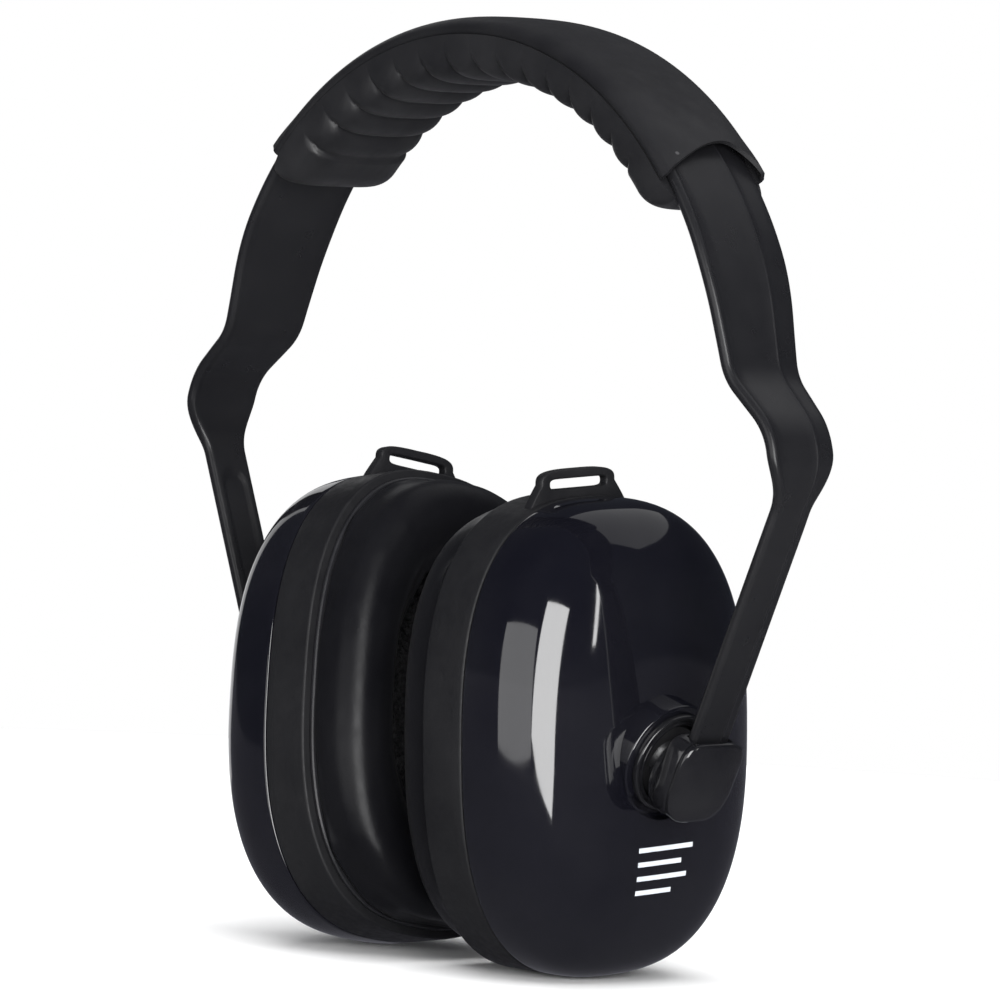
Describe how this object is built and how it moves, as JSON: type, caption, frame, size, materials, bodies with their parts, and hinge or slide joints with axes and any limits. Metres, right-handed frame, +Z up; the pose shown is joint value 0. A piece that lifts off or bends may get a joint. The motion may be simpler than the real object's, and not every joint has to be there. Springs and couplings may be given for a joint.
{
  "type": "hearing protection earmuffs",
  "caption": "Over-head hearing protection earmuffs: sprung headband with ribbed crown pad, sliding arms, and deep oval cups on ball joints with soft ear cushions and strap lugs.",
  "frame": {"origin": "on the floor, midway between the arms of the headband", "axes": "+X towards the wearer's left, -Y towards the front, +Z up through the crown"},
  "size_m": [0.2004, 0.0807, 0.2184],
  "materials": {
    "band_plastic": "satin moulded nylon",
    "pad_cover": "smooth satin sleeve",
    "pad_foam": "soft moulded ribs",
    "rivet_plastic": "satin",
    "gloss_block": "polished",
    "spring_steel": "rolled strip",
    "stud_plastic": "turned acetal",
    "seat_plastic": "natural acetal",
    "gloss_shell": "mirror polished",
    "ring_plastic": "fine spark-eroded grain",
    "plate_plastic": "moulded",
    "cushion_skin": "soft leatherette",
    "soft_foam": "open-cell foam",
    "damping_foam": "open-cell foam"
  },
  "bodies": {
    "headband": {"headband": "band_plastic", "head_pad_cover": "pad_cover", "head_pad_cushion": "pad_foam", "pad_rivets": "rivet_plastic"},
    "left_slider": {"left_slider_block": "gloss_block", "left_slider_cap": "gloss_block", "left_detent_spring": "spring_steel"},
    "left_stud": {"left_pivot_stud": "stud_plastic"},
    "left_seat": {"left_ball_seat": "seat_plastic"},
    "left_cup": {"left_pivot_collar": "gloss_block", "left_socket_retainer": "seat_plastic", "left_cup_shell": "gloss_shell", "left_cup_ring": "ring_plastic", "left_cushion_plate": "plate_plastic", "left_ear_cushion": "cushion_skin", "left_cushion_foam": "soft_foam", "left_damping_foam": "damping_foam"},
    "right_slider": {"right_slider_block": "gloss_block", "right_slider_cap": "gloss_block", "right_detent_spring": "spring_steel"},
    "right_stud": {"right_pivot_stud": "stud_plastic"},
    "right_seat": {"right_ball_seat": "seat_plastic"},
    "right_cup": {"right_pivot_collar": "gloss_block", "right_socket_retainer": "seat_plastic", "right_cup_shell": "gloss_shell", "right_cup_ring": "ring_plastic", "right_cushion_plate": "plate_plastic", "right_ear_cushion": "cushion_skin", "right_cushion_foam": "soft_foam", "right_damping_foam": "damping_foam"}
  },
  "joints": [
    {"name": "left_slide", "type": "slide", "parent": "headband", "child": "left_slider", "axis": [0.3827, 0, 0.9239], "range_m": [-0.001, 0.015]},
    {"name": "left_swivel", "type": "hinge", "parent": "left_slider", "child": "left_stud", "pos_m": [0.05823, 0, 0.05321], "axis": [0.9239, 0, -0.3827], "range_deg": [-6, 6]},
    {"name": "left_tilt", "type": "hinge", "parent": "left_stud", "child": "left_seat", "pos_m": [0.05823, 0, 0.05321], "axis": [0, 1, 0], "range_deg": [-7, 1]},
    {"name": "left_turn", "type": "hinge", "parent": "left_seat", "child": "left_cup", "pos_m": [0.05823, 0, 0.05321], "axis": [0.3827, 0, 0.9239], "range_deg": [-3, 3]},
    {"name": "right_slide", "type": "slide", "parent": "headband", "child": "right_slider", "axis": [-0.3827, 0, 0.9239], "range_m": [0, 0.024]},
    {"name": "right_swivel", "type": "hinge", "parent": "right_slider", "child": "right_stud", "pos_m": [-0.05654, 0, 0.04915], "axis": [-0.9239, 0, -0.3827], "range_deg": [-6, 6]},
    {"name": "right_tilt", "type": "hinge", "parent": "right_stud", "child": "right_seat", "pos_m": [-0.05654, 0, 0.04915], "axis": [0, 1, 0], "range_deg": [-1, 8]},
    {"name": "right_turn", "type": "hinge", "parent": "right_seat", "child": "right_cup", "pos_m": [-0.05654, 0, 0.04915], "axis": [-0.3827, 0, 0.9239], "range_deg": [-3, 3]}
  ]
}
